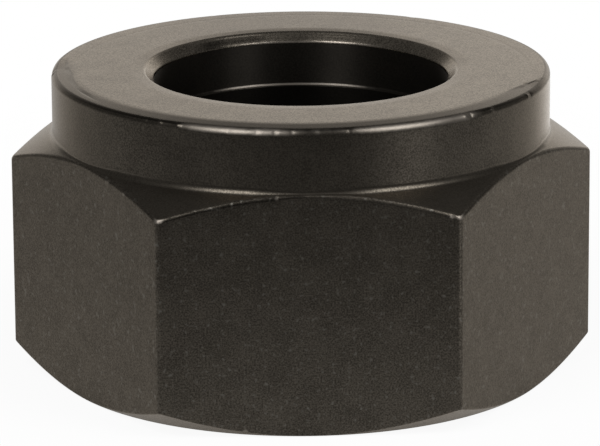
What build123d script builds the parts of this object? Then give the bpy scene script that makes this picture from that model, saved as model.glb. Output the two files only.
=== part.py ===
from build123d import *
import os
from math import cos, radians, sqrt, tan

# Collet nut: a hexagon nut turned and milled from one steel bar, with a round nose in front.
# Sizes are in millimetres. The origin is the middle of the back face, where the thread begins.
# +Z runs along the nut's axis to the nose, and two of the hexagon's corners lie on X.

# Hexagon body, with a cone turned on its foot and on its shoulder
across_flats = 30.0
corner_radius = 0.35
body_length = 14.35
foot_inset = 0.1
foot_angle = 32.0
shoulder_angle = 30.0

# Round nose, a little inside the flats, with a shallow sloping rim round its face
nose_length = 3.85
nose_inset = 0.2
neck_fillet = 0.3
rim_width = 1.3
rim_angle = 4.0
rim_fillet = 0.35

# Nose opening with a small ledge at its foot, and the tapered seat that presses on the collet's front
collet_diameter = 21.0
collet_clearance = 0.2
opening_diameter = 17.45
opening_chamfer = 0.56
land_length = 3.25
ledge_width = 0.3
ledge_fillet = 0.2
seat_angle = 30.0
recess_length = 0.5

# Extraction lip, off the nut's axis so that a tilted collet snaps in behind its high side
lip_high_side = 1.75
lip_low_side = 0.35
lip_thickness = 1.2
lip_chamfer = 0.3

# Thread M25 x 1.5, made as a plain wall at the thread's minor diameter
thread_diameter = 25.0
thread_pitch = 1.5
relief_clearance = 0.15
relief_length = 1.2
mouth_clearance = 0.2

# Radii worked out from the sizes above
flat_radius = across_flats / 2
bar_radius = across_flats / sqrt(3)
foot_radius = flat_radius - foot_inset
nose_radius = flat_radius - nose_inset
face_radius = nose_radius - rim_width
opening_radius = opening_diameter / 2
ledge_radius = opening_radius - ledge_width
seat_radius = collet_diameter / 2 + collet_clearance
lip_radius = seat_radius - (lip_high_side + lip_low_side) / 2
lip_offset = (lip_high_side - lip_low_side) / 2
thread_depth = 5 / 8 * cos(radians(30)) * thread_pitch
minor_radius = thread_diameter / 2 - thread_depth
relief_radius = thread_diameter / 2 + relief_clearance
mouth_radius = thread_diameter / 2 + mouth_clearance

# Levels worked out from the sizes above, from the back face up
height = body_length + nose_length
foot_rise = (bar_radius - foot_radius) * tan(radians(foot_angle))
shoulder_corner = body_length - (bar_radius - nose_radius) * tan(radians(shoulder_angle))
rim_corner = height - rim_width * tan(radians(rim_angle))
land_foot = height - land_length
seat_foot = land_foot - (seat_radius - ledge_radius) / tan(radians(seat_angle))
recess_foot = seat_foot - recess_length
lip_foot = recess_foot - lip_thickness
relief_foot = lip_foot - relief_length

with BuildPart() as collet_nut:
    # Hexagon bar with its long edges broken
    with BuildSketch():
        RegularPolygon(flat_radius, 6, major_radius=False)
        fillet(vertices(), corner_radius)
    extrude(amount=height)

    # Turned outside: foot chamfer, shoulder cone, neck, nose and its shallow rim
    with BuildSketch(Plane.XZ):
        with BuildLine():
            Polyline(
                (0, 0),
                (foot_radius, 0),
                (bar_radius, foot_rise),
                (bar_radius, shoulder_corner),
                (nose_radius, body_length),
                (nose_radius, rim_corner),
                (face_radius, height),
                (0, height),
                close=True,
            )
        make_face()
        nose_corners = vertices().filter_by_position(Axis.X, nose_radius, nose_radius).sort_by(Axis.Y)
        fillet(nose_corners[-2], neck_fillet)
        fillet(nose_corners[-1], rim_fillet)
    revolve(axis=Axis.Z, mode=Mode.INTERSECT)

    # Opening in the nose, its straight land and ledge, the tapered seat and the recess behind it
    with BuildSketch(Plane.XZ):
        with BuildLine():
            Polyline(
                (0, height),
                (opening_radius + opening_chamfer, height),
                (opening_radius, height - opening_chamfer),
                (opening_radius, land_foot),
                (ledge_radius, land_foot),
                (seat_radius, seat_foot),
                (seat_radius, recess_foot),
                (0, recess_foot),
                close=True,
            )
        make_face()
        land_corners = vertices().filter_by_position(Axis.X, opening_radius, opening_radius).sort_by(Axis.Y)
        fillet(land_corners[0], ledge_fillet)
    revolve(axis=Axis.Z, mode=Mode.SUBTRACT)

    # Bore of the extraction lip, on its own axis beside the nut's
    with BuildSketch(Plane.XZ):
        with BuildLine():
            Polyline(
                (lip_offset, recess_foot),
                (lip_offset + lip_radius + lip_chamfer, recess_foot),
                (lip_offset + lip_radius, recess_foot - lip_chamfer),
                (lip_offset + lip_radius, lip_foot + lip_chamfer),
                (lip_offset + lip_radius + lip_chamfer, lip_foot),
                (lip_offset, lip_foot),
                close=True,
            )
        make_face()
    revolve(axis=Axis((lip_offset, 0, 0), (0, 0, 1)), mode=Mode.SUBTRACT)

    # Thread relief, threaded bore and its countersunk mouth
    with BuildSketch(Plane.XZ):
        with BuildLine():
            Polyline(
                (0, lip_foot),
                (relief_radius, lip_foot),
                (relief_radius, relief_foot),
                (minor_radius, relief_foot - (relief_radius - minor_radius)),
                (minor_radius, mouth_radius - minor_radius),
                (mouth_radius, 0),
                (0, 0),
                close=True,
            )
        make_face()
    revolve(axis=Axis.Z, mode=Mode.SUBTRACT)

collet_nut.part.label = "collet_nut"

os.makedirs("parts", exist_ok=True)
export_step(collet_nut.part, "parts/collet_nut.step")
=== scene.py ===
from collections import namedtuple
from math import cos, pi, radians, sin, tan

import bpy
import numpy as np
from bpy.props import FloatProperty, FloatVectorProperty, PointerProperty
from mathutils import Matrix, Vector


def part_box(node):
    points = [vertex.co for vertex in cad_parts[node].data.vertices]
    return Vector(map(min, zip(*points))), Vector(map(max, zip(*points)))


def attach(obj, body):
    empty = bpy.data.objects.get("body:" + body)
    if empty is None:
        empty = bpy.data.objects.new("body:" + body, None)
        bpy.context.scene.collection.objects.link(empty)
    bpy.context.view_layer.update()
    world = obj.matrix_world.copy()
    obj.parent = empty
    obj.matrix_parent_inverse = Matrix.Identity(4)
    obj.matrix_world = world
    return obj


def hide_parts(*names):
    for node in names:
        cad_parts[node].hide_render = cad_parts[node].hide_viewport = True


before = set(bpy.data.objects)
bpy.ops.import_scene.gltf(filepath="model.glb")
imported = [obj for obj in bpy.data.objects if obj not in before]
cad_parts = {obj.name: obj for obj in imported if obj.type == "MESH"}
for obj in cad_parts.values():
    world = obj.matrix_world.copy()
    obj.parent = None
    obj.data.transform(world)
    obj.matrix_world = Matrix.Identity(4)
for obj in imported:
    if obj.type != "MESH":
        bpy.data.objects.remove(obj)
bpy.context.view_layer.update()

bl_info = {
    "name": "Collet Nut",
    "version": (1, 0, 0),
    "blender": (4, 5, 0),
    "location": "View3D > Sidebar > Collet Nut",
    "description": "Models a black steel collet nut with its thread, finish and wear, on a plain stage",
    "category": "Add Mesh",
}

MM = 0.001
NODE = "collet_nut"
LOW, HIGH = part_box(NODE)
FACES_OF_BAR = 6

# Finishes, in the order of the nut's material slots
FACED, TURNED, NECKED, BLASTED, CHAMFERED, BORED = range(6)

# Columns of the nut's grid, in degrees: the usual spacing, closer ones round edges and nicks and where the
# rim's slope runs out, and the least gap between two
COLUMN_STEP = 2.0
EDGE_FAN = (0.15, 0.3, 0.45, 0.58, 0.8, 1.2)
NICK_FAN = (0.25, 0.5, 1.0)
SLANT_STRETCH = (-31.0, -9.0, 0.5)
LEAST_GAP = 0.06

# Corners of the nut's section that carry nicks, by their place in the list of corners
RIM, SHOULDER_EDGE, FOOT_EDGE = 3, 5, 6

# Nicks, and burrs with a negative depth: the corner, the degrees round the nut, the size and the depth in
# millimetres, and how rubbed it is
NICKS = (
    (RIM, -131.5, 0.18, 0.04, 0.0),
    (RIM, -128.0, 0.15, 0.03, 0.0),
    (RIM, -124.7, 0.16, -0.04, 0.3),
    (RIM, -120.1, 0.18, -0.04, 0.4),
    (RIM, -108.0, 0.20, 0.02, 0.9),
    (RIM, -101.5, 0.15, 0.02, 1.0),
    (RIM, -97.4, 0.17, 0.02, 1.0),
    (RIM, -93.5, 0.15, 0.02, 1.0),
    (RIM, -88.0, 0.12, 0.02, 0.7),
    (RIM, -81.0, 0.12, 0.02, 0.7),
    (RIM, -51.8, 0.22, -0.04, 0.3),
    (RIM, -50.2, 0.16, 0.05, 0.1),
    (RIM, -43.4, 0.16, -0.04, 0.5),
    (RIM, -28.3, 0.14, -0.03, 0.3),
    (RIM, -26.5, 0.14, 0.02, 0.0),
    (RIM, 178.5, 0.20, 0.06, 0.0),
    (RIM, -178.5, 0.15, 0.05, 0.0),
    (RIM, 60.0, 0.25, 0.05, 0.5),
    (RIM, 110.0, 0.20, 0.04, 0.5),
    (SHOULDER_EDGE, -138.0, 0.18, -0.04, 0.6),
    (SHOULDER_EDGE, -131.5, 0.18, -0.04, 0.6),
    (SHOULDER_EDGE, -119.4, 0.12, 0.03, 1.0),
    (SHOULDER_EDGE, -97.0, 0.15, 0.03, 0.5),
    (SHOULDER_EDGE, -61.5, 0.14, 0.05, 1.0),
    (SHOULDER_EDGE, 143.0, 0.20, 0.05, 0.6),
    (FOOT_EDGE, -104.0, 0.25, 0.05, 0.6),
    (FOOT_EDGE, 96.0, 0.25, 0.06, 0.6),
)

# Stretches round the nut: their level of wear, dullness, scoring, painted highlight and painted shade, and
# where each begins, ends and fades, in degrees
Stretch = namedtuple("Stretch", "level start end fade")
# Painted highlight: bright bare steel at the chamfer's foot and along the ledge, where the lamps' reflections
# fall
CHAMFER_HIGHLIGHT = Stretch(0.6, 62.0, 100.0, 25.0)
LEDGE_HIGHLIGHT = Stretch(0.9, 72.0, 112.0, 22.0)
# Painted shade: less bare steel, so a darker rim, in the gap between the lamps' reflections
RIM_GAP_SHADE = Stretch(0.45, -91.0, -82.0, 8.0)
# Painted shade: darker oxide on the face behind the opening
BACK_SHADE = Stretch(0.85, 80.0, 100.0, 50.0)
# A darker line along the step where the rim's slope runs out
SLANT_DARK_LINE = Stretch(1.5, -30.0, -10.0, 5.0)
# Painted shade: darker oxide on the shoulder's edge in front on the left, and on the chamfer behind on the
# left
SHOULDER_SHADE = Stretch(1.2, -118.0, -92.0, 3.0)
CHAMFER_SHADE = Stretch(1.5, 108.0, 126.0, 12.0)
SCORED_FACE = Stretch(1.0, -186.0, -155.0, 8.0)

# How dull the rim's slope and its groove are, and how softly the slope's dullness begins
SLOPE_DULL = 1.4
GROOVE_DULL = 1.5
SLOPE_FADE = 0.6 * MM

# The fine groove scored on the left of the face: its distance from the axis, in millimetres, at some angles
SCORE_DEGREES = (-190.0, -176.0, -148.0)
SCORE_RADII = (14.15, 13.6, 14.15)

# How softly the rim's stretch of wear and painted highlight, and the rim's slope, end, in degrees
WEAR_AND_HIGHLIGHT_FADE = 9.0
SLANT_FADE = 10.0

# Where the run beside an arc begins, in edge breaks, and what stands for its rows where it is threaded
RUN_MARGIN = 1.5
THREADED = 0

# Rows of one turn of the thread: how far along the pitch, and how deep from crest to root. The first lies at
# nought, so that the surface closes where the thread begins.
THREAD_ALONG = (0.0, 0.21, 0.25, 0.386, 0.523, 0.563, 0.647, 0.687, 0.824, 0.96)
THREAD_DEPTH = (0.0, 0.0, 0.06, 0.5, 0.94, 1.0, 1.0, 0.94, 0.5, 0.06)

# Gap between the thread and the arcs beside it
THREAD_MARGIN = 0.01 * MM

# Kinds of sockets of the node groups
VECTOR, NUMBER, COLOUR = "NodeSocketVector", "NodeSocketFloat", "NodeSocketColor"

# Oxide: the clouds' weight beside the grain and the middle of their sum, the step from dark to light, and
# # the most dullness and painted shade, with the tone left there
CLOUD_WEIGHT = 0.24
MIDDLE_TONE = 0.5 + CLOUD_WEIGHT / 2
TONE_STEP = 0.03
FULLY_DULL = 2.0
DULL_TONE = 0.15

# Roughness: how far it varies and over which range of the grain, and how much rougher bare steel is
GLOSS_STEP = 0.03
GLOSS_GRAIN = (0.3, 0.7)
BARE_ROUGHER = 0.08

# Beside the lathe's rings: the height of the grain, and the turn that puts the sheen across them
GRAIN_BY_RINGS = 0.5
ACROSS_RINGS = 0.25

# Floor: its depth under the nut, where a painted shadow darkens its glow towards the nut's foot as the steel
# # reflects it, and where it darkens under the nut as it is lit, with its colour there darkened to a tone as
# painted shade
FLOOR_GAP = 0.02 * MM
DARK_FOOT = (12.6 * MM, 16.2 * MM)
SHADED_FOOT = (12.3 * MM, 14.5 * MM)
SHADED_TONE = 0.3

# Floor as the steel reflects it: where it stops growing brighter from the front and from the left, its levels
# there, and where its glow behind on the right begins along X and Y
FRONT_REACH, FRONT_LEVEL = -10.0 * MM, 0.95
LEFT_REACH, LEFT_LEVEL = 20.0 * MM, 1.06
GLOW_START_X = (-10.0 * MM, 15.0 * MM)
GLOW_START_Y = (35.0 * MM, 55.0 * MM)

# Where the white background takes over: a distance, and a share of the floor's radius
WHITE_START, WHITE_END = 15.0 * MM, 0.8

# The lamps' sheens on the floor: azimuths in degrees, where they fade sideways, and where they begin
RIGHT_SHEEN = 43.5
LEFT_SHEEN = -35.0
SHEEN_SIDES = (2.0 * MM, 18.0 * MM)
SHEEN_START = (28.0 * MM, 45.0 * MM)

# White sheet behind the nut, as the steel reflects it: where it begins, ends and dims at its foot, by parts
# of a direction, how it spreads and rises on the right, and how much brighter it is there and at its sides
SHEET_START = (0.79, 0.89)
SHEET_TOP = (0.27, 0.39)
SHEET_FOOT = (0.1, 0.3)
FOOT_LEVEL = 0.93
RIGHT_SPREAD = 0.1
RIGHT_RISE = 0.25
RIGHT_GAIN = 1.5
SIDE_GAIN = 0.5

# Ground and horizon past the floor, by parts of a direction
GROUND_DEPTH = (-0.9, 0.3)
HORIZON = (-0.03, 0.03)

# Lamps: place of the middle in metres, turn in degrees, and length and width in metres
Lamp = namedtuple("Lamp", "name place turn size")
LEFT_LAMP = Lamp("Left lamp", (-0.25, -0.33, 0.4), 60.0, (0.44, 0.19))
RIGHT_LAMP = Lamp("Right lamp", (0.325, -0.255, 0.4), -57.0, (0.46, 0.2))

# Camera fitted to the photograph: angles are in degrees, and the lens and the sensor in millimetres
CAMERA_AIM = Vector((-0.0975, 0.0, 8.5646)) * MM
CAMERA_AZIMUTH = -1.605
CAMERA_ELEVATION = 15.577
CAMERA_ROLL = -0.3525
CAMERA_DISTANCE = 291.17 * MM
CAMERA_LENS = 291.62
CAMERA_SENSOR = 36.0


def setting(kind, default, name, description, **limits):
    """A setting with its name and description."""
    return kind(name=name, description=description, default=default, **limits)


def length(default, *words):
    """A size, with its default in millimetres."""
    default *= MM
    return setting(FloatProperty, default, *words, min=0.0, precision=5, unit="LENGTH", subtype="DISTANCE")


def place(default, *words):
    """A place seen from above, with its default in millimetres."""
    default = [part * MM for part in default]
    return setting(FloatVectorProperty, default, *words, size=2, precision=5, unit="LENGTH", subtype="XYZ")


def slope(default, *words):
    """An angle, with its default in degrees."""
    return setting(FloatProperty, radians(default), *words, unit="ROTATION", subtype="ANGLE")


def amount(default, *words):
    """A plain number from nought up."""
    return setting(FloatProperty, default, *words, min=0.0, subtype="UNSIGNED")


def share(default, *words):
    """A part of one."""
    return setting(FloatProperty, default, *words, min=0.0, max=1.0, subtype="FACTOR")


def colour(default, *words):
    """A colour in linear light."""
    return setting(FloatVectorProperty, default, *words, size=3, min=0.0, max=1.0, subtype="COLOR")


class NutSizes(bpy.types.PropertyGroup):
    """Sizes of the nut. They agree with the solid that it replaces, but for softer edges, a neck a hair
    higher, a steeper shoulder and a slight fall of the face round the opening"""

    across_flats: length((HIGH.y - LOW.y) / MM, "Across Flats", "Width of the hexagon from flat to flat")
    height: length((HIGH.z - LOW.z) / MM, "Height", "From the back face to the nose face")
    corner_radius: length(0.35, "Corner Radius", "Rounding of the hexagon's long edges")
    foot_inset: length(0.1, "Foot Inset", "How far inside the flats the foot's chamfer ends")
    foot_angle: slope(32.0, "Foot Angle", "Rise of the foot's chamfer")
    shoulder_angle: slope(31.0, "Shoulder Angle", "Fall of the shoulder's cone")
    nose_length: length(3.79, "Nose Length", "Height of the round nose")
    nose_inset: length(0.2, "Nose Inset", "How far the nose lies inside the flats")
    neck_fillet: length(0.5, "Neck Fillet", "Rounding where the nose meets the shoulder")
    rim_width: length(1.3, "Rim Width", "Width of the nose's sloping rim")
    rim_angle: slope(4.0, "Rim Angle", "Fall of the rim")
    face_fillet: length(8.0, "Face Fillet", "Rounding where the rim's slope meets the face")
    rim_fillet: length(0.35, "Rim Fillet", "Rounding of the nose's outer edge")
    collet_diameter: length(21.0, "Collet Diameter", "Large diameter of the collet")
    collet_clearance: length(0.2, "Collet Clearance", "Room round the collet, on the radius")
    opening_diameter: length(17.45, "Opening Diameter", "Diameter of the opening in the nose")
    opening_chamfer: length(0.56, "Opening Chamfer", "Chamfer round the opening")
    mouth_fillet: length(0.3, "Mouth Fillet", "Rounding where that chamfer meets the face")
    mouth_easing: length(0.75, "Mouth Easing", "Width of the face's slight fall round that chamfer")
    mouth_fall: slope(2.8, "Mouth Fall", "Angle of that fall")
    chamfer_fillet: length(0.24, "Chamfer Fillet", "Rounding where that chamfer meets the land")
    land_length: length(3.25, "Land Length", "Depth at which the tapered seat begins")
    ledge_width: length(0.3, "Ledge Width", "Width of the small ledge at the land's foot")
    ledge_fillet: length(0.2, "Ledge Fillet", "Rounding where the land meets the ledge")
    seat_angle: slope(30.0, "Seat Angle", "Angle of the tapered seat from the axis")
    recess_length: length(0.5, "Recess Length", "Straight wall between the seat and the lip")
    lip_high_side: length(1.75, "Lip High Side", "How far the lip stands in on its high side")
    lip_low_side: length(0.35, "Lip Low Side", "How far the lip stands in on its low side")
    lip_thickness: length(1.2, "Lip Thickness", "Thickness of the extraction lip")
    lip_chamfer: length(0.3, "Lip Chamfer", "Chamfers on the extraction lip")
    thread_diameter: length(25.0, "Thread Diameter", "Major diameter of the thread")
    thread_pitch: length(1.5, "Thread Pitch", "Rise of the thread in one turn")
    relief_clearance: length(0.15, "Relief Clearance", "How far the relief lies outside the thread")
    relief_length: length(1.2, "Relief Length", "Length of the relief at the thread's end")
    mouth_clearance: length(0.2, "Mouth Clearance", "How far the mouth lies outside the thread")
    slant_start: place((12.1, -6.2), "Slant Start", "Where the rim's slope begins to run out")
    slant_end: place((14.45, -3.1), "Slant End", "Where the rim's slope has run out")
    slant_step: length(0.12, "Slant Step", "Width of the step down to the slope along that line")
    slant_easing: slope(11.0, "Slant Easing", "How far before that end the slope begins to level out")
    slant_far_end: slope(168.0, "Slant Far End", "Where the slope begins again at the back")
    score_depth: length(0.02, "Score Depth", "Depth of the fine groove at the slope's inner edge")
    score_width: length(0.08, "Score Width", "Width of that groove")
    edge_break: length(0.16, "Edge Break", "Rounding of the turned and milled edges")
    shoulder_break: length(0.34, "Shoulder Break", "Rounding where the shoulder's cone meets the flats")
    bore_break: length(0.05, "Bore Edge Break", "Rounding of the edges inside the nut")
    knock_width: slope(1.1, "Knock Width", "How far round each corner of the hexagon it is rubbed")
    rubbed_rounding: length(0.09, "Rubbed Rounding", "Extra rounding of the rim where it is rubbed")
    # The rim's stretch of real wear and painted highlight, placed where the lamps' reflections fall
    wear_and_highlight_from: slope(-115.0, "Rubbed From", "Where the rubbed stretch of the rim begins")
    wear_and_highlight_to: slope(-52.0, "Rubbed To", "Where the rubbed stretch of the rim ends")


class NutFinish(bpy.types.PropertyGroup):
    """Colours and wear of the nut's oxide finish, with painted highlight on the rim and painted shade in the
    bore
    """

    oxide_dark: colour((0.028, 0.0245, 0.0198), "Dark Oxide", "The oxide where it is thickest")
    oxide_light: colour((0.074, 0.065, 0.053), "Light Oxide", "The oxide where it is thinnest")
    grazing_tint: colour((1.0, 0.935, 0.86), "Grazing Tint", "Tint of the oxide's sheen at a shallow angle")
    faced_lift: amount(2.55, "Faced Lift", "How much lighter the oxide is on the faced surfaces")
    # Painted shade: the bore's oxide is darkened, standing for the shade in the recess
    bore_shade_lift: amount(0.35, "Bored Lift", "How much lighter the oxide is in the bore")
    bare_steel: colour((0.22, 0.196, 0.17), "Bare Steel", "Steel that shows where edges are rubbed")
    speck: colour((0.09, 0.084, 0.073), "Specks", "Pale specks in the blasted flats")
    # Wear of the rim, and painted highlight where the lamps' reflections fall on it
    rim_wear_and_highlight: share(0.76, "Rim Wear", "How rubbed the nose's outer edge is")
    corner_wear: share(1.0, "Corner Wear", "How rubbed the hexagon's corners are")
    edge_wear: share(0.03, "Edge Wear", "How rubbed the other outside edges are")


class StageLook(bpy.types.PropertyGroup):
    """Floor, light and camera"""

    floor_colour: colour((0.8, 0.8, 0.8), "Floor Colour", "Colour of the floor")
    floor_radius: length(90.0, "Floor Radius", "How far the floor reaches")
    floor_glow: share(0.93, "Floor Glow", "How much of the floor's look is the plain white background")
    front_glow: share(0.05, "Front Glow", "Level of the floor's far front, as the steel sees it")
    left_glow: share(0.7, "Left Glow", "Level of the floor's far left, as the steel sees it")
    rear_glow: share(0.92, "Rear Glow", "Extra level of the floor behind on the right, as the steel sees it")
    right_sheen: amount(1.5, "Right Sheen", "Sheen of the right lamp on the floor, as the steel sees it")
    left_sheen: amount(0.2, "Left Sheen", "Sheen of the left lamp on the floor, as the steel sees it")
    room_fill: amount(0.25, "Room Fill", "Level of the soft light from all round")
    room_glow: amount(0.24, "Room Glow", "Level of the dim room, as the steel sees it")
    left_lamp: amount(2.15, "Left Lamp", "Power of the soft lamp on the left, in watts")
    right_lamp: amount(2.1, "Right Lamp", "Power of the soft lamp on the right, in watts")


# Shape of the nut


def angle_from(angle, centre):
    """How far each angle is from a centre, between half a turn either way."""
    return (angle - centre + pi) % (2 * pi) - pi


def window(angle, start, end, fade):
    """One between two angles, and nought past their soft ends: t^2 (3 - 2t), where t rises over the fade."""
    off = np.abs(angle_from(angle, (start + end) / 2))
    t = np.clip(((end - start) / 2 + fade - off) / fade, 0.0, 1.0)
    return t * t * (3 - 2 * t)


def level_at(stretch, angle):
    """How much a stretch of the nut is rubbed, dull or scored at each angle."""
    return stretch.level * window(angle, radians(stretch.start), radians(stretch.end), radians(stretch.fade))


def fading(distance, width):
    """One in the middle, fading out to both sides: exp(-(d / w)^2)."""
    return np.exp(-((distance / width) ** 2))


def hexagon_radius(angle, half_width, rounding):
    """Distance from the axis to a hexagon with rounded edges, at each angle, with an edge at angle nought.

    On a flat it is the half width over the cosine of the angle from the flat's middle.
    Within an edge's arc it is c cos a + sqrt(r^2 - c^2 sin^2 a), where a is the angle from the edge,
    r the arc's radius and c its centre's distance from the axis."""
    sector = 2 * pi / FACES_OF_BAR
    from_edge = (angle + sector / 2) % sector - sector / 2
    flat = half_width / np.cos(sector / 2 - np.abs(from_edge))
    centre = (half_width - rounding) / cos(sector / 2)
    tangent = np.arctan2(rounding * sin(sector / 2), centre + rounding * cos(sector / 2))
    under_root = np.maximum(rounding**2 - (centre * np.sin(from_edge)) ** 2, 0.0)
    arc = centre * np.cos(from_edge) + np.sqrt(under_root)
    return np.where(np.abs(from_edge) < tangent, arc, flat), from_edge


def offset_radius(angle, radius, offset):
    """Distance from the axis to a circle with its centre moved along X: e cos a + sqrt(R^2 - e^2 sin^2 a)."""
    return offset * np.cos(angle) + np.sqrt(radius**2 - (offset * np.sin(angle)) ** 2)


def rounded(before, corner, after, radius, steps, most=0.45):
    """Rows of the arc that rounds a corner of the section, for every column at once.

    The arc begins and ends r / tan(h) from the corner, where h is half the angle between its sides, and takes
    no more than a share of either side. Between those points A and B it is the curve
    ((1-t)^2 A + 2t(1-t)w C + t^2 B) / ((1-t)^2 + 2t(1-t)w + t^2), where C is the corner and w is sin h."""
    back = before - corner
    ahead = after - corner
    back_length = np.linalg.norm(back, axis=-1)
    ahead_length = np.linalg.norm(ahead, axis=-1)
    cosine = (back * ahead).sum(-1) / (back_length * ahead_length)
    half = 0.5 * np.arccos(np.clip(cosine, -1.0, 1.0))
    reach = np.minimum(radius / np.tan(half), most * np.minimum(back_length, ahead_length))
    start = corner + back * (reach / back_length)[:, None]
    end = corner + ahead * (reach / ahead_length)[:, None]
    t = np.linspace(0.0, 1.0, steps + 1)[:, None, None]
    weight = np.sin(half)[:, None]
    curve = (1 - t) ** 2 * start + 2 * t * (1 - t) * weight * corner + t**2 * end
    return curve / ((1 - t) ** 2 + 2 * t * (1 - t) * weight + t**2)


def straight(start, end, count, margin):
    """Rows of a straight run between two arcs: the first and last lie at the margin from its ends, or a third
    of the run where that is less, and the others at (1 - cos(pi k)) / 2 between them."""
    run = end - start
    close = np.minimum(margin / np.linalg.norm(run, axis=-1), 1 / 3)
    spread = (1 - np.cos(pi * np.linspace(0.0, 1.0, count))) / 2
    along = close + (1 - 2 * close) * spread[:, None]
    return start + along[..., None] * run


def thread_rows(sizes, angle, low, high, mouth_radius, relief_foot):
    """Rows of the threaded wall between two heights, for every column at once.

    Row k lies at low + pitch * (turn(k) - 1 + angle / 2 pi), held between the two heights, so each row is a
    helix. Its radius is the thread's section at turn(k), 5/8 cos 30 of the pitch deep, or the 45 degree cone
    of the mouth or of the relief where that is wider."""
    turns = int(np.ceil((high - low) / sizes.thread_pitch)) + 2
    turn = (np.arange(turns)[:, None] + THREAD_ALONG).ravel()
    major = sizes.thread_diameter / 2
    thread_depth = 5 / 8 * cos(radians(30)) * sizes.thread_pitch
    section = major - thread_depth * (1 - np.tile(THREAD_DEPTH, turns))
    height = low + sizes.thread_pitch * (turn[:, None] - 1 + angle / (2 * pi))
    height = np.clip(height, low, high)
    mouth_cone = mouth_radius - height
    relief_cone = major + sizes.relief_clearance - (relief_foot - height)
    radius = np.maximum(np.maximum(section[:, None], mouth_cone), relief_cone)
    return np.stack([radius, height], axis=-1)


def nose_radii(sizes):
    """Radius of the nose's wall, and of the level face inside its sloping rim."""
    nose_radius = sizes.across_flats / 2 - sizes.nose_inset
    return nose_radius, nose_radius - sizes.rim_width


Corner = namedtuple("Corner", "radius height rounding steps rows wear finish")


def section_corners(sizes, finish, angle):
    """Corners of the nut's section, in order: from the opening out over the face, down the outside, in
    across the back and up the bore. Each has its radius and height, the rounding and the steps of its arc,
    the rows of the run that follows, how rubbed it is, with painted highlight on the rim, the ledge and the
    chamfer's foot, and the finish from there on."""
    flat_radius = sizes.across_flats / 2
    hexagon, from_edge = hexagon_radius(angle, flat_radius, sizes.corner_radius)
    foot_radius = flat_radius - sizes.foot_inset
    nose_radius, face_radius = nose_radii(sizes)
    opening_radius = sizes.opening_diameter / 2
    chamfer_radius = opening_radius + sizes.opening_chamfer
    ledge_radius = opening_radius - sizes.ledge_width
    seat_radius = sizes.collet_diameter / 2 + sizes.collet_clearance
    lip_radius = seat_radius - (sizes.lip_high_side + sizes.lip_low_side) / 2
    lip_offset = (sizes.lip_high_side - sizes.lip_low_side) / 2
    lip = offset_radius(angle, lip_radius, lip_offset)
    lip_mouth = offset_radius(angle, lip_radius + sizes.lip_chamfer, lip_offset)
    relief_radius = sizes.thread_diameter / 2 + sizes.relief_clearance
    mouth_radius = sizes.thread_diameter / 2 + sizes.mouth_clearance

    height = sizes.height
    shoulder = height - sizes.nose_length
    shoulder_edge = shoulder - (hexagon - nose_radius) * tan(sizes.shoulder_angle)
    foot_edge = (hexagon - foot_radius) * tan(sizes.foot_angle)
    rim_edge = height - sizes.rim_width * tan(sizes.rim_angle)
    chamfer_edge = height - sizes.mouth_easing * tan(sizes.mouth_fall)
    land_foot = height - sizes.land_length
    seat_foot = land_foot - (seat_radius - ledge_radius) / tan(sizes.seat_angle)
    recess_foot = seat_foot - sizes.recess_length
    lip_foot = recess_foot - sizes.lip_thickness
    relief_foot = lip_foot - sizes.relief_length

    edge = sizes.edge_break
    inner = sizes.bore_break
    rubbed_and_highlit = finish.edge_wear
    most_rubbed = rubbed_and_highlit + (finish.corner_wear - rubbed_and_highlit) * fading(from_edge, sizes.knock_width)
    # Painted highlight: bare steel on the chamfer's foot and the ledge under the lamps' reflections
    behind = level_at(CHAMFER_HIGHLIGHT, angle)
    on_ledge = level_at(LEDGE_HIGHLIGHT, angle)
    # The rim's stretch is real wear and painted highlight under the lamps' reflections, with painted shade in
    # the gap between them
    on_rim = window(angle, sizes.wear_and_highlight_from, sizes.wear_and_highlight_to, radians(WEAR_AND_HIGHLIGHT_FADE))
    on_rim *= 1 - level_at(RIM_GAP_SHADE, angle)
    rim_rounding = sizes.rim_fillet + sizes.rubbed_rounding * on_rim

    return (
        Corner(chamfer_radius, chamfer_edge, sizes.mouth_fillet, 5, 3, 0.0, FACED),
        Corner(chamfer_radius + sizes.mouth_easing, height, sizes.face_fillet, 6, 4, 0.0, FACED),
        Corner(face_radius, height, sizes.face_fillet, 8, 10, 0.0, FACED),
        Corner(nose_radius, rim_edge, rim_rounding, 9, 7, finish.rim_wear_and_highlight * on_rim, TURNED),
        Corner(nose_radius, shoulder, sizes.neck_fillet, 7, 5, 0.0, NECKED),
        Corner(hexagon, shoulder_edge, sizes.shoulder_break, 5, 10, most_rubbed, BLASTED),
        Corner(hexagon, foot_edge, edge, 4, 4, rubbed_and_highlit, BLASTED),
        Corner(foot_radius, 0.0, edge, 3, 3, rubbed_and_highlit, FACED),
        Corner(mouth_radius, 0.0, inner, 3, THREADED, rubbed_and_highlit, BORED),
        Corner(relief_radius, relief_foot, inner, 3, 2, 0.0, BORED),
        Corner(relief_radius, lip_foot, inner, 3, 2, 0.0, BORED),
        Corner(lip_mouth, lip_foot, inner / 2, 2, 2, rubbed_and_highlit, BORED),
        Corner(lip, lip_foot + sizes.lip_chamfer, inner, 2, 2, 0.0, BORED),
        Corner(lip, recess_foot - sizes.lip_chamfer, inner, 2, 2, 0.0, BORED),
        Corner(lip_mouth, recess_foot, inner / 2, 2, 2, rubbed_and_highlit, BORED),
        Corner(seat_radius, recess_foot, inner / 2, 2, 2, 0.0, BORED),
        Corner(seat_radius, seat_foot, inner, 2, 3, 0.0, BORED),
        Corner(ledge_radius, land_foot, inner / 2, 2, 2, 0.0, BORED),
        Corner(opening_radius, land_foot, sizes.ledge_fillet, 6, 3, on_ledge, BORED),
        Corner(opening_radius, height - sizes.opening_chamfer, sizes.chamfer_fillet, 5, 3, behind, CHAMFERED),
    )


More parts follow.
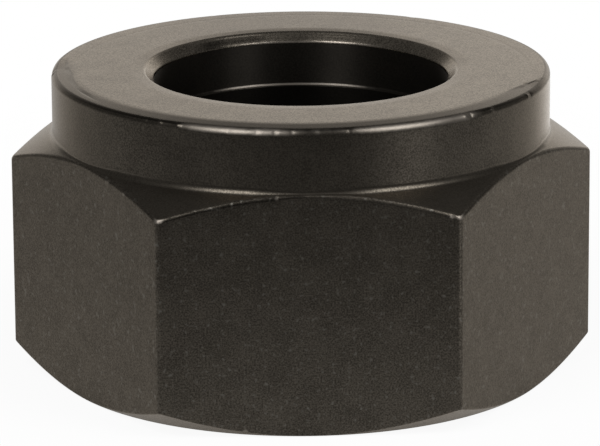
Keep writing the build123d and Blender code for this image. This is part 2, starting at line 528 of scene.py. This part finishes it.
def column_angles():
    """Angles of the grid's columns: evenly spaced, and closer at edges, at nicks and on the slant."""
    even = np.arange(0.0, 360.0, COLUMN_STEP)
    edges = np.arange(FACES_OF_BAR) * 360.0 / FACES_OF_BAR
    nicks = np.array([degrees for corner, degrees, size, depth, wear in NICKS])
    fans = []
    for centres, steps in ((edges, EDGE_FAN), (nicks, NICK_FAN)):
        fan = np.array([0.0, *steps, *(-step for step in steps)])
        fans.append((centres[:, None] + fan).ravel())
    slant = np.arange(*SLANT_STRETCH)
    angles = np.unique(np.round(np.concatenate([even, slant, *fans]) % 360.0, 3))
    crowded = np.diff(angles, append=angles[0] + 360.0) < LEAST_GAP
    return np.radians(angles[~crowded])


def nut_grid(sizes, finish, angle):
    """The nut's surface as a grid of rows by columns: radius and height, wear with its painted highlight, the
    finish of each row, the rows of the thread, and the middle row of each corner's arc. Wear rises over an
    arc as sqrt(sin(pi t))."""
    corners = section_corners(sizes, finish, angle)
    places = [np.stack(np.broadcast_arrays(c.radius, c.height, angle)[:2], axis=-1) for c in corners]
    mouth = next(number for number, corner in enumerate(corners) if corner.rows == THREADED)
    relief_foot = corners[mouth + 1].height
    arcs = []
    for number, (place, corner) in enumerate(zip(places, corners)):
        before = places[number - 1]
        after = places[(number + 1) % len(places)]
        # The threaded wall begins and ends with a cone of 45 degrees
        if number == mouth:
            after = place + np.array([-MM, MM])
        if number == mouth + 1:
            before = place - np.array([MM, MM])
        arcs.append(rounded(before, place, after, corner.rounding, corner.steps))
    rows, wear, finishes, middles = [], [], [], []
    total = 0
    for number, (arc, corner) in enumerate(zip(arcs, corners)):
        if number == mouth:
            inset = sizes.bore_break + THREAD_MARGIN
            run = thread_rows(sizes, angle, inset, relief_foot - inset, corner.radius, relief_foot)
            thread = slice(total + len(arc), total + len(arc) + len(run))
        else:
            following = arcs[(number + 1) % len(arcs)]
            run = straight(arc[-1], following[0], corner.rows, RUN_MARGIN * sizes.edge_break)
        middles.append(total + len(arc) // 2)
        rows += [arc, run]
        crest = np.sqrt(np.sin(pi * np.linspace(0.0, 1.0, len(arc))))[:, None]
        wear += [np.broadcast_to(corner.wear, arc.shape[:2]) * crest, np.zeros(run.shape[:2])]
        finishes += [np.full(len(arc) + len(run), corner.finish)]
        total += len(arc) + len(run)
    return np.concatenate(rows), np.concatenate(wear), np.concatenate(finishes), thread, middles


def past_slant(sizes, section, angle):
    """Where the rim's slope has run out: one past a slanting line and on round the back, nought before it,
    and how far each point is past the line."""
    radius = section[..., 0]
    start, end = np.array(sizes.slant_start), np.array(sizes.slant_end)
    along = (end - start) / np.linalg.norm(end - start)
    beyond = (radius * np.sin(angle) - start[1]) * along[0] - (radius * np.cos(angle) - start[0]) * along[1]
    step = np.clip(beyond / sizes.slant_step + 0.5, 0.0, 1.0)
    first, last = np.arctan2(start[1], start[0]), np.arctan2(end[1], end[0])
    fade = radians(SLANT_FADE)
    past = step * window(angle, first - fade, sizes.slant_far_end, fade)
    easing = window(angle, last, sizes.slant_far_end, sizes.slant_easing)
    return np.maximum(past, easing), beyond


def score(sizes, radius, angle):
    """The fine groove on the left of the face, one in its middle, fading out sideways and at its ends."""
    degrees = np.degrees(angle_from(angle, radians(SCORE_DEGREES[1]))) + SCORE_DEGREES[1]
    middle = np.interp(degrees, SCORE_DEGREES, SCORE_RADII) * MM
    return level_at(SCORED_FACE, angle) * fading(radius - middle, sizes.score_width)


def level_rim(sizes, section, angle, share):
    """Lifts the sloping rim level with the face where its slope has run out: by (r - face radius) tan(slope),
    with r held at the nose's radius, and by less down the nose's wall. The score is cut into it."""
    radius, height = section[..., 0], section[..., 1]
    face_radius = nose_radii(sizes)[1]
    drop = np.clip(radius - face_radius, 0.0, sizes.rim_width) * tan(sizes.rim_angle)
    down = np.clip((sizes.height - height) / (sizes.nose_length / 2), 0.0, 1.0)
    lifted = section.copy()
    lifted[..., 1] += share * drop * (1 - down) ** 2
    lifted[..., 1] -= sizes.score_depth * score(sizes, radius, angle)
    return lifted


def rim_dullness(sizes, section, angle, share, beyond):
    """How dull the oxide is on the nose face: most on the rim's slope and in the fine groove there, along the
    step where the slope runs out, and less behind the opening, where it is painted shade."""
    radius, height = section[..., 0], section[..., 1]
    face_radius = nose_radii(sizes)[1]
    on_top = height > sizes.height - 2 * sizes.rim_width * tan(sizes.rim_angle)
    sloping = np.clip((radius - face_radius) / SLOPE_FADE + 0.5, 0.0, 1.0) * (1 - share)
    slant = fading(beyond, sizes.slant_step) * (radius > face_radius) * level_at(SLANT_DARK_LINE, angle)
    groove = score(sizes, radius, angle)
    return on_top * (SLOPE_DULL * sloping + GROOVE_DULL * groove + slant + level_at(BACK_SHADE, angle))


def nicked(points, angle, middles, wear):
    """Points moved in at nicks and out at burrs, and half as far along the axis: by the depth times
    exp(-(d / size)^2), where d is the distance from the middle of the corner's arc. The wear rises there in
    the same way."""
    moved, rubbed_and_highlit = points.copy(), wear.copy()
    for corner, degrees, size, depth, share in NICKS:
        rise = -0.5 if corner == FOOT_EDGE else 0.5
        outward = np.stack([np.cos(angle), np.sin(angle), np.full_like(angle, rise)], axis=-1)
        column = np.abs(angle_from(angle, radians(degrees))).argmin()
        centre = points[middles[corner], column]
        near = fading(np.linalg.norm(points - centre, axis=-1), size * MM)
        moved -= (depth * MM * near)[..., None] * outward
        rubbed_and_highlit = np.maximum(rubbed_and_highlit, share * near)
    return moved, rubbed_and_highlit


def grid_faces(rows, columns, thread):
    """Four-sided faces of a grid that closes on itself both ways. Over the seam, each row of the thread runs
    on into the row one turn higher."""
    index = np.arange(rows * columns).reshape(rows, columns)
    next_turn = np.arange(rows)
    next_turn[thread] = np.minimum(next_turn[thread] + len(THREAD_ALONG), thread.stop - 1)
    index = np.concatenate([index, index[next_turn, :1]], axis=1)
    above = np.roll(index, -1, axis=0)
    corners = (index[:, :-1], above[:, :-1], above[:, 1:], index[:, 1:])
    return np.stack(corners, axis=-1)


def smooth_normals(points, faces):
    """Each point's normal: the mean of the faces round it, weighted by area, so that flats stay flat."""
    across = points[faces[:, 2]] - points[faces[:, 0]]
    along = points[faces[:, 3]] - points[faces[:, 1]]
    face_normals = np.cross(across, along)
    total = np.zeros_like(points)
    for corner in range(faces.shape[1]):
        np.add.at(total, faces[:, corner], face_normals)
    return total / np.maximum(np.linalg.norm(total, axis=1), 1e-30)[:, None]


def joined_mesh(grid, quads, finishes, marks):
    """A mesh of the grid with points that coincide joined. A face with two corners in one point gets three
    sides, and one that shrank to a line is left out. The marks become point attributes."""
    points, first, merged = np.unique(
        np.round(grid.reshape(-1, 3), 9), axis=0, return_index=True, return_inverse=True
    )
    quads = merged.ravel()[quads]
    same = quads == np.roll(quads, -1, axis=1)
    shrunk = same.sum(axis=1) == 1
    threes = quads[shrunk][~same[shrunk]].reshape(-1, 3)
    folded = (quads[:, 0] == quads[:, 2]) | (quads[:, 1] == quads[:, 3])
    whole = ~same.any(axis=1) & ~folded

    mesh = bpy.data.meshes.new(NODE)
    mesh.from_pydata(points, [], quads[whole].tolist() + threes.tolist())
    slots = np.concatenate([finishes[whole], finishes[shrunk]]).astype(np.int32)
    mesh.polygons.foreach_set("material_index", slots)
    mesh.polygons.foreach_set("use_smooth", np.ones(len(slots), bool))
    for name, values in marks.items():
        attribute = mesh.attributes.new(name, "FLOAT", "POINT")
        attribute.data.foreach_set("value", values.ravel()[first].astype(np.float32))
    mesh.update()
    mesh.normals_split_custom_set_from_vertices(smooth_normals(points, quads).tolist())
    return mesh


def nut_mesh(sizes, finish):
    """The whole nut as one closed mesh that knows how rubbed and how dull it is at each point, with painted
    highlight among the wear and painted shade among the dullness. Besides the nose face, painted shade
    darkens the opening's chamfer behind on the left and the shoulder's edge in front."""
    angle = column_angles()
    section, wear, finishes, thread, middles = nut_grid(sizes, finish, angle)
    nose = slice(middles[0], middles[RIM + 1])
    edge = middles[SHOULDER_EDGE]
    share, beyond = past_slant(sizes, section[nose], angle)
    dull_and_shade = np.zeros(section.shape[:2])
    dull_and_shade[nose] = rim_dullness(sizes, section[nose], angle, share, beyond)
    # Painted shade on the shoulder's edge and on the opening's chamfer
    dull_and_shade[edge - 2 : edge + 2] = level_at(SHOULDER_SHADE, angle)
    dull_and_shade[middles[-1] :] = level_at(CHAMFER_SHADE, angle)
    section[nose] = level_rim(sizes, section[nose], angle, share)
    radius, height = section[..., 0], section[..., 1]
    grid = np.stack([radius * np.cos(angle), radius * np.sin(angle), height], axis=-1)
    grid, wear = nicked(grid, angle, middles, wear)
    quads = grid_faces(*radius.shape, thread).reshape(-1, 4)
    return joined_mesh(grid, quads, np.repeat(finishes, len(angle)), {"rubbed_and_highlit": wear, "dull_and_shade": dull_and_shade})


# Finish of the nut


def feed(tree, node, values):
    """Gives a node's inputs their values, by name or number: a link from a socket, a number or a colour."""
    for label, value in values.items():
        socket = node.inputs[label]
        if isinstance(value, bpy.types.NodeSocket):
            tree.links.new(value, socket)
        elif socket.type == "RGBA":
            socket.default_value = (*value, 1.0)
        else:
            socket.default_value = value


def add(tree, kind, values=None, **settings):
    """A new node with its settings, and its inputs' values or links."""
    node = tree.nodes.new(kind)
    for key, value in settings.items():
        setattr(node, key, value)
    feed(tree, node, values or {})
    return node


def calculate(tree, operation, first, second=0.0):
    """The result of an operation on two values, each a socket or a number."""
    return add(tree, "ShaderNodeMath", {0: first, 1: second}, operation=operation).outputs["Value"]


def plus(tree, first, second):
    """A sum."""
    return calculate(tree, "ADD", first, second)


def less(tree, first, second):
    """A difference."""
    return calculate(tree, "SUBTRACT", first, second)


def times(tree, first, second):
    """A product."""
    return calculate(tree, "MULTIPLY", first, second)


def scaled(tree, vector, factor):
    """A vector or a colour, scaled."""
    node = add(tree, "ShaderNodeVectorMath", {"Vector": vector, "Scale": factor}, operation="SCALE")
    return node.outputs["Vector"]


def size_of(tree, vector):
    """The length of a vector."""
    return add(tree, "ShaderNodeVectorMath", {0: vector}, operation="LENGTH").outputs["Value"]


def parts_of(tree, vector):
    """The X, Y and Z of a vector."""
    return add(tree, "ShaderNodeSeparateXYZ", {"Vector": vector}).outputs


def ramp(tree, value, low, high, to_low=0.0, to_high=1.0):
    """A value carried smoothly from one range to another."""
    ranges = {"From Min": low, "From Max": high, "To Min": to_low, "To Max": to_high}
    node = add(tree, "ShaderNodeMapRange", {"Value": value, **ranges}, interpolation_type="SMOOTHSTEP")
    return node.outputs["Result"]


def mixed(tree, factor, first, second):
    """A mix of two colours."""
    return add(tree, "ShaderNodeMix", {"Factor": factor, 6: first, 7: second}, data_type="RGBA").outputs[2]


def noise(tree, position, size, detail, roughness=0.5):
    """Soft random values, with features of a given size in millimetres."""
    scale = calculate(tree, "DIVIDE", 1.0, size)
    values = {"Vector": position, "Scale": scale, "Detail": detail, "Roughness": roughness}
    return add(tree, "ShaderNodeTexNoise", values).outputs["Fac"]


def group_tree(name, inputs, outputs):
    """A new shader node group: inputs by name, kind and perhaps a default, and outputs by name and kind."""
    tree = bpy.data.node_groups.new(name, "ShaderNodeTree")
    for label, kind, *default in inputs:
        socket = tree.interface.new_socket(label, in_out="INPUT", socket_type=kind)
        if default:
            socket.default_value = default[0]
    for label, kind in outputs:
        tree.interface.new_socket(label, in_out="OUTPUT", socket_type=kind)
    return tree, tree.nodes.new("NodeGroupInput").outputs, tree.nodes.new("NodeGroupOutput")


def placed(tree, group, values):
    """Outputs of a node group placed in a material, with its own values or links."""
    return add(tree, "ShaderNodeGroup", values, node_tree=group).outputs


def oxide_tone_group():
    """Oxide that is thicker in soft clouds and lighter on its grains, and darker where it is dull or carries
    painted shade.
    """
    tree, given, result = group_tree(
        "Oxide Tone",
        (
            ("Position", VECTOR),
            ("Cloud Size", NUMBER, 3.0),
            ("Grain Size", NUMBER, 0.2),
            ("Dark", COLOUR),
            ("Light", COLOUR),
            ("Spread", NUMBER, 0.2),
            ("Lift", NUMBER, 1.0),
            ("Dull", NUMBER, 0.0),
        ),
        (("Color", COLOUR), ("Grain", NUMBER)),
    )
    cloud = noise(tree, given["Position"], given["Cloud Size"], detail=3.0)
    grain = noise(tree, given["Position"], given["Grain Size"], detail=2.0, roughness=0.6)
    both = plus(tree, times(tree, cloud, CLOUD_WEIGHT), grain)
    reach = calculate(tree, "DIVIDE", TONE_STEP, given["Spread"])
    mask = ramp(tree, both, less(tree, MIDDLE_TONE, reach), plus(tree, MIDDLE_TONE, reach))
    tone = mixed(tree, mask, given["Dark"], given["Light"])
    dulled = ramp(tree, given["Dull"], 0.0, FULLY_DULL, 1.0, DULL_TONE)
    feed(tree, result, {"Color": scaled(tree, tone, times(tree, given["Lift"], dulled)), "Grain": grain})
    return tree


def turning_marks_group():
    """Fine rings left by the lathe: random heights along the radius less twice the height, so that they run
    round the axis on walls, faces and cones alike."""
    tree, given, result = group_tree(
        "Turning Marks",
        (("Position", VECTOR), ("Spacing", NUMBER, 0.1)),
        (("Height", NUMBER),),
    )
    parts = parts_of(tree, given["Position"])
    square = plus(tree, times(tree, parts["X"], parts["X"]), times(tree, parts["Y"], parts["Y"]))
    along = less(tree, calculate(tree, "SQRT", square), times(tree, parts["Z"], 2.0))
    scale = calculate(tree, "DIVIDE", 1.0, given["Spacing"])
    values = {"W": along, "Scale": scale, "Detail": 3.0}
    rings = add(tree, "ShaderNodeTexNoise", values, noise_dimensions="1D")
    feed(tree, result, {"Height": rings.outputs["Fac"]})
    return tree


def rubbed_edge_group():
    """Bare steel along rubbed edges, and as painted highlight where the lamps' reflections fall, in patches:
    where a noise and the rubbing together pass 0.6 to 1.25.
    """
    tree, given, result = group_tree(
        "Rubbed Edge",
        (("Position", VECTOR), ("Rubbed", NUMBER, 0.0), ("Patch Size", NUMBER, 0.7)),
        (("Mask", NUMBER),),
    )
    patches = noise(tree, given["Position"], given["Patch Size"], detail=4.0, roughness=0.65)
    mask = ramp(tree, plus(tree, patches, given["Rubbed"]), 0.6, 1.25)
    feed(tree, result, {"Mask": times(tree, mask, given["Rubbed"])})
    return tree


def specks_group():
    """Small pale specks of uneven shape: peaks of a fine noise, from 0.75 less half the share over 0.2."""
    tree, given, result = group_tree(
        "Specks",
        (("Position", VECTOR), ("Size", NUMBER, 0.3), ("Share", NUMBER, 0.2)),
        (("Mask", NUMBER),),
    )
    peaks = noise(tree, given["Position"], given["Size"], detail=1.0)
    least = less(tree, 0.75, times(tree, given["Share"], 0.5))
    feed(tree, result, {"Mask": ramp(tree, peaks, least, plus(tree, least, 0.2))})
    return tree


def emptied_tree(owner):
    """The shader tree of a new material or world, with no nodes in it."""
    owner.use_nodes = True
    owner.node_tree.nodes.clear()
    return owner.node_tree


# A finish of the steel: the sizes of its clouds, grains and lathe rings in millimetres, the height of its
# relief in metres, the spread of its tone, how much lighter its oxide is, and how far rings stretch the sheen
Steel = namedtuple(
    "Steel",
    "name cloud grain roughness relief spread lift rings stretch specks metal",
    defaults=(1.0, 0.0, 0.0, 0.0, 1.0),
)


def steels(finish):
    """The finishes of the nut's steel, in the order of its material slots."""
    return (
        Steel("Faced black steel", 1.8, 0.08, 0.2, 1.5e-6, 0.2, finish.faced_lift),
        Steel("Turned black steel", 2.5, 0.09, 0.34, 1e-6, 0.12, rings=0.12, stretch=0.5),
        Steel("Necked black steel", 2.5, 0.1, 0.3, 3e-7, 0.08, lift=1.2, rings=0.12, stretch=0.2),
        Steel("Blasted black steel", 1.2, 0.1, 0.38, 5e-6, 0.14, specks=0.33),
        Steel("Chamfered black steel", 1.5, 0.1, 0.26, 6e-6, 0.2, lift=2.2, rings=0.12, stretch=0.4),
        # The bore's oxide is darkened as painted shade
        Steel("Bored black steel", 2.0, 0.1, 0.4, 1e-6, 0.12, finish.bore_shade_lift, 0.14, 0.9, metal=0.8),
    )


def steel_material(steel, finish, groups):
    """Black oxide on steel: a dark metal with clouded tone, lathe rings or blasted grain, and rubbed edges,
    with bare steel also placed as painted highlight under the lamps' reflections and darker oxide as painted
    shade. Where the lathe left rings, the sheen is stretched across them."""
    material = bpy.data.materials.new(steel.name)
    tree = emptied_tree(material)
    position = scaled(tree, add(tree, "ShaderNodeTexCoord").outputs["Object"], 1 / MM)
    # Real wear, and painted highlight where bare steel is placed under the lamps' reflections
    rubbed_and_highlit = add(tree, "ShaderNodeAttribute", attribute_name="rubbed_and_highlit").outputs["Fac"]
    dull_and_shade = add(tree, "ShaderNodeAttribute", attribute_name="dull_and_shade").outputs["Fac"]
    tone = placed(
        tree,
        groups["tone"],
        {
            "Position": position,
            "Cloud Size": steel.cloud,
            "Grain Size": steel.grain,
            "Dark": finish.oxide_dark,
            "Light": finish.oxide_light,
            "Spread": steel.spread,
            "Lift": steel.lift,
            "Dull": dull_and_shade,
        },
    )
    bare = placed(tree, groups["wear"], {"Position": position, "Rubbed": rubbed_and_highlit})["Mask"]
    base = tone["Color"]
    if steel.specks:
        pale = placed(tree, groups["specks"], {"Position": position, "Share": steel.specks})["Mask"]
        base = mixed(tree, pale, base, finish.speck)
    dullest, glossiest = steel.roughness + GLOSS_STEP, steel.roughness - GLOSS_STEP
    gloss = ramp(tree, tone["Grain"], *GLOSS_GRAIN, dullest, glossiest)
    height = tone["Grain"]
    lathe = {}
    if steel.rings:
        around = add(tree, "ShaderNodeTangent", direction_type="RADIAL", axis="Z").outputs["Tangent"]
        lathe = {"Anisotropic": steel.stretch, "Anisotropic Rotation": ACROSS_RINGS, "Tangent": around}
        marks = placed(tree, groups["marks"], {"Position": position, "Spacing": steel.rings})["Height"]
        height = plus(tree, marks, times(tree, height, GRAIN_BY_RINGS))
    relief = add(tree, "ShaderNodeBump", {"Strength": 1.0, "Distance": steel.relief, "Height": height})
    sheen = 1 - steel.spread / 2
    shader = add(
        tree,
        "ShaderNodeBsdfPrincipled",
        {
            "Base Color": mixed(tree, bare, base, finish.bare_steel),
            "Metallic": steel.metal,
            "Specular Tint": [sheen * part for part in finish.grazing_tint],
            "Roughness": plus(tree, gloss, times(tree, bare, BARE_ROUGHER)),
            "Normal": relief.outputs["Normal"],
            **lathe,
        },
    )
    add(tree, "ShaderNodeOutputMaterial", {"Surface": shader.outputs["BSDF"]})
    return material


class COLLET_NUT_OT_make_nut(bpy.types.Operator):
    """Makes the collet nut: hexagon, nose, opening, seat, lip and thread in one mesh, with its finishes"""

    bl_idname = "collet_nut.make_nut"
    bl_label = "Collet Nut"
    bl_options = {"REGISTER", "UNDO"}

    def execute(self, context):
        finish = context.scene.collet_nut_finish
        nut = bpy.data.objects.new("collet_nut_body", nut_mesh(context.scene.collet_nut_sizes, finish))
        context.scene.collection.objects.link(nut)
        groups = {
            "tone": oxide_tone_group(),
            "marks": turning_marks_group(),
            "wear": rubbed_edge_group(),
            "specks": specks_group(),
        }
        for steel in steels(finish):
            nut.data.materials.append(steel_material(steel, finish, groups))
        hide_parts(NODE)
        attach(nut, "root")
        return {"FINISHED"}


# Floor, background, lamps and camera


def floor_mesh(radius, rings=24, columns=96):
    """A flat disc just under the nut: rings of points whose radius grows evenly, round one in the middle."""
    angle = np.arange(columns) * 2 * pi / columns
    reach = radius * np.arange(1, rings + 1)[:, None] / rings
    ring = np.stack([reach * np.cos(angle), reach * np.sin(angle), np.zeros((rings, columns))], axis=-1)
    points = np.concatenate([np.zeros((1, 3)), ring.reshape(-1, 3)]) - np.array([0.0, 0.0, FLOOR_GAP])
    index = 1 + np.arange(rings * columns).reshape(rings, columns)
    ahead = np.roll(index, -1, axis=1)
    centre = np.stack([np.zeros(columns, int), index[0], ahead[0]], axis=-1)
    quads = np.stack([index[:-1], index[1:], ahead[1:], ahead[:-1]], axis=-1).reshape(-1, 4)
    mesh = bpy.data.meshes.new("floor")
    mesh.from_pydata(points, [], centre.tolist() + quads.tolist())
    return mesh


def direction_from(azimuth, elevation):
    """Unit vector from the nut at an azimuth, in degrees from the front to the right, and an elevation."""
    side, up = radians(azimuth), radians(elevation)
    return Vector((sin(side) * cos(up), -cos(side) * cos(up), sin(up)))


def lamp_sheen(tree, spot, azimuth, level):
    """A lamp's sheen on the floor, as the steel reflects it: a soft streak that runs out from the nut."""
    outward = direction_from(azimuth, 0.0)
    across = add(tree, "ShaderNodeVectorMath", {0: spot, 1: outward}, operation="CROSS_PRODUCT")
    along = add(tree, "ShaderNodeVectorMath", {0: spot, 1: outward}, operation="DOT_PRODUCT")
    streak = ramp(tree, size_of(tree, across.outputs["Vector"]), *SHEEN_SIDES, level, 0.0)
    return times(tree, streak, ramp(tree, along.outputs["Value"], *SHEEN_START))


def mirrored_floor(tree, look, spot, reach):
    """The floor's painted glow as the steel reflects it: darker in front and on the left, with a painted
    shadow at the nut's foot, and brighter behind on the right and in the lamps' sheens."""
    parts = parts_of(tree, spot)
    in_front = ramp(tree, parts["Y"], -look.floor_radius, FRONT_REACH, look.front_glow, FRONT_LEVEL)
    to_left = ramp(tree, parts["X"], -look.floor_radius, LEFT_REACH, look.left_glow, LEFT_LEVEL)
    on_right = ramp(tree, parts["X"], *GLOW_START_X)
    behind = ramp(tree, parts["Y"], *GLOW_START_Y, 0.0, look.rear_glow)
    level = plus(tree, times(tree, in_front, to_left), times(tree, on_right, behind))
    for azimuth, sheen in ((RIGHT_SHEEN, look.right_sheen), (LEFT_SHEEN, look.left_sheen)):
        level = plus(tree, level, lamp_sheen(tree, spot, azimuth, sheen))
    return times(tree, level, ramp(tree, reach, *DARK_FOOT))


def floor_material(look):
    """A pale floor that keeps the nut's shadow, blends into the white background towards its rim, and is
    clear from below. For the steel's reflections it glows with painted light and shade, and under the nut its
    colour is darkened as painted shade."""
    material = bpy.data.materials.new("Pale floor")
    tree = emptied_tree(material)
    material.cycles.emission_sampling = "NONE"
    spot = add(tree, "ShaderNodeTexCoord").outputs["Object"]
    reach = size_of(tree, spot)
    path = add(tree, "ShaderNodeLightPath").outputs
    camera = path["Is Camera Ray"]
    seen = calculate(tree, "MAXIMUM", camera, path["Is Glossy Ray"])
    seen = calculate(tree, "MAXIMUM", seen, path["Is Transmission Ray"])

    mirrored = times(tree, mirrored_floor(tree, look, spot, reach), less(tree, 1.0, camera))
    white = add(tree, "ShaderNodeEmission", {"Strength": plus(tree, mirrored, camera)}).outputs["Emission"]
    # Painted shade: the floor's colour is darkened under the nut
    painted_shade_colour = scaled(tree, look.floor_colour, ramp(tree, reach, *SHADED_FOOT, SHADED_TONE, 1.0))
    matt = add(tree, "ShaderNodeBsdfDiffuse", {"Color": painted_shade_colour}).outputs["BSDF"]
    glow = ramp(tree, reach, WHITE_START, WHITE_END * look.floor_radius, look.floor_glow, 1.0)
    whiteness = times(tree, times(tree, glow, ramp(tree, reach, *SHADED_FOOT)), seen)
    top = add(tree, "ShaderNodeMixShader", {"Fac": whiteness, 1: matt, 2: white}).outputs["Shader"]
    clear = add(tree, "ShaderNodeBsdfTransparent").outputs["BSDF"]
    below = add(tree, "ShaderNodeNewGeometry").outputs["Backfacing"]
    surface = add(tree, "ShaderNodeMixShader", {"Fac": below, 1: top, 2: clear}).outputs["Shader"]
    add(tree, "ShaderNodeOutputMaterial", {"Surface": surface})
    return material


def studio_world(look):
    """White behind the nut, as the camera and the steel see it, a dim room in front, and soft fill."""
    world = bpy.data.worlds.new("Studio")
    tree = emptied_tree(world)
    world.cycles.sampling_method = "NONE"
    parts = parts_of(tree, add(tree, "ShaderNodeTexCoord").outputs["Generated"])
    to_right = calculate(tree, "MAXIMUM", parts["X"], 0.0)
    aside = calculate(tree, "ABSOLUTE", parts["X"])
    across = plus(tree, parts["Y"], times(tree, to_right, RIGHT_SPREAD))
    upward = less(tree, parts["Z"], times(tree, to_right, RIGHT_RISE))
    sheet = times(tree, ramp(tree, across, *SHEET_START), ramp(tree, upward, *SHEET_TOP, 1.0, 0.0))
    sheet = times(tree, sheet, ramp(tree, parts["Z"], *SHEET_FOOT, FOOT_LEVEL, 1.0))
    sideways = plus(tree, aside, times(tree, to_right, RIGHT_GAIN))
    brighter = plus(tree, 1.0 - look.room_glow, times(tree, sideways, SIDE_GAIN))
    backdrop = plus(tree, times(tree, sheet, brighter), look.room_glow)
    ground = ramp(tree, parts["Y"], *GROUND_DEPTH, look.front_glow, 1.0)
    above = ramp(tree, parts["Z"], *HORIZON)
    gloss = plus(tree, ground, times(tree, less(tree, backdrop, ground), above))

    path = add(tree, "ShaderNodeLightPath").outputs
    glossy = path["Is Glossy Ray"]
    camera = calculate(tree, "MAXIMUM", path["Is Camera Ray"], path["Is Transmission Ray"])
    fill = times(tree, less(tree, 1.0, plus(tree, camera, glossy)), look.room_fill)
    level = plus(tree, plus(tree, times(tree, gloss, glossy), camera), fill)
    background = add(tree, "ShaderNodeBackground", {"Color": (1.0, 1.0, 1.0), "Strength": level})
    add(tree, "ShaderNodeOutputWorld", {"Surface": background.outputs["Background"]})
    return world


def soft_lamp(scene, lamp, power):
    """A level rectangular soft lamp over the nut, turned about the upright."""
    light = bpy.data.lights.new(lamp.name, "AREA")
    light.shape = "RECTANGLE"
    light.size, light.size_y = lamp.size
    light.energy = power
    holder = bpy.data.objects.new(lamp.name, light)
    holder.location = lamp.place
    holder.rotation_euler = (0.0, 0.0, radians(lamp.turn))
    holder.visible_camera = False
    scene.collection.objects.link(holder)


def photo_camera(scene):
    """The camera at the photograph's viewing angle, from its aim, direction, distance and roll."""
    back = direction_from(CAMERA_AZIMUTH, CAMERA_ELEVATION)
    right = Vector((0, 0, 1)).cross(back).normalized()
    up = back.cross(right)
    turn = Matrix((right, up, back)).transposed() @ Matrix.Rotation(radians(CAMERA_ROLL), 3, "Z")
    camera = bpy.data.cameras.new("Camera")
    camera.sensor_width = CAMERA_SENSOR
    camera.lens = CAMERA_LENS
    camera.clip_start = 0.01
    holder = bpy.data.objects.new("Camera", camera)
    holder.matrix_world = Matrix.Translation(CAMERA_AIM + back * CAMERA_DISTANCE) @ turn.to_4x4()
    scene.collection.objects.link(holder)
    scene.camera = holder


class COLLET_NUT_OT_make_stage(bpy.types.Operator):
    """Makes the plain floor, the white background, two soft lamps and the camera"""

    bl_idname = "collet_nut.make_stage"
    bl_label = "Stage"
    bl_options = {"REGISTER", "UNDO"}

    def execute(self, context):
        scene = context.scene
        look = scene.collet_nut_stage
        floor = bpy.data.objects.new("floor", floor_mesh(look.floor_radius))
        floor.data.materials.append(floor_material(look))
        scene.collection.objects.link(floor)
        scene.world = studio_world(look)
        soft_lamp(scene, LEFT_LAMP, look.left_lamp)
        soft_lamp(scene, RIGHT_LAMP, look.right_lamp)
        photo_camera(scene)
        scene.view_settings.view_transform = "Standard"
        return {"FINISHED"}


class COLLET_NUT_PT_sidebar(bpy.types.Panel):
    """Sidebar panel with the nut, its sizes and finish, and the stage"""

    bl_label = "Collet Nut"
    bl_idname = "COLLET_NUT_PT_sidebar"
    bl_space_type = "VIEW_3D"
    bl_region_type = "UI"
    bl_category = "Collet Nut"

    def draw(self, context):
        scene = context.scene
        for operator, settings in (
            (COLLET_NUT_OT_make_nut, (scene.collet_nut_sizes, scene.collet_nut_finish)),
            (COLLET_NUT_OT_make_stage, (scene.collet_nut_stage,)),
        ):
            box = self.layout.box()
            box.operator(operator.bl_idname)
            for group in settings:
                for key in group.__annotations__:
                    box.prop(group, key)


CLASSES = (
    NutSizes,
    NutFinish,
    StageLook,
    COLLET_NUT_OT_make_nut,
    COLLET_NUT_OT_make_stage,
    COLLET_NUT_PT_sidebar,
)


def register():
    for cls in CLASSES:
        bpy.utils.register_class(cls)
    bpy.types.Scene.collet_nut_sizes = PointerProperty(type=NutSizes)
    bpy.types.Scene.collet_nut_finish = PointerProperty(type=NutFinish)
    bpy.types.Scene.collet_nut_stage = PointerProperty(type=StageLook)


def unregister():
    del bpy.types.Scene.collet_nut_stage
    del bpy.types.Scene.collet_nut_finish
    del bpy.types.Scene.collet_nut_sizes
    for cls in reversed(CLASSES):
        bpy.utils.unregister_class(cls)


def main():
    register()
    bpy.ops.collet_nut.make_nut()
    bpy.ops.collet_nut.make_stage()


if __name__ == "__main__":
    main()
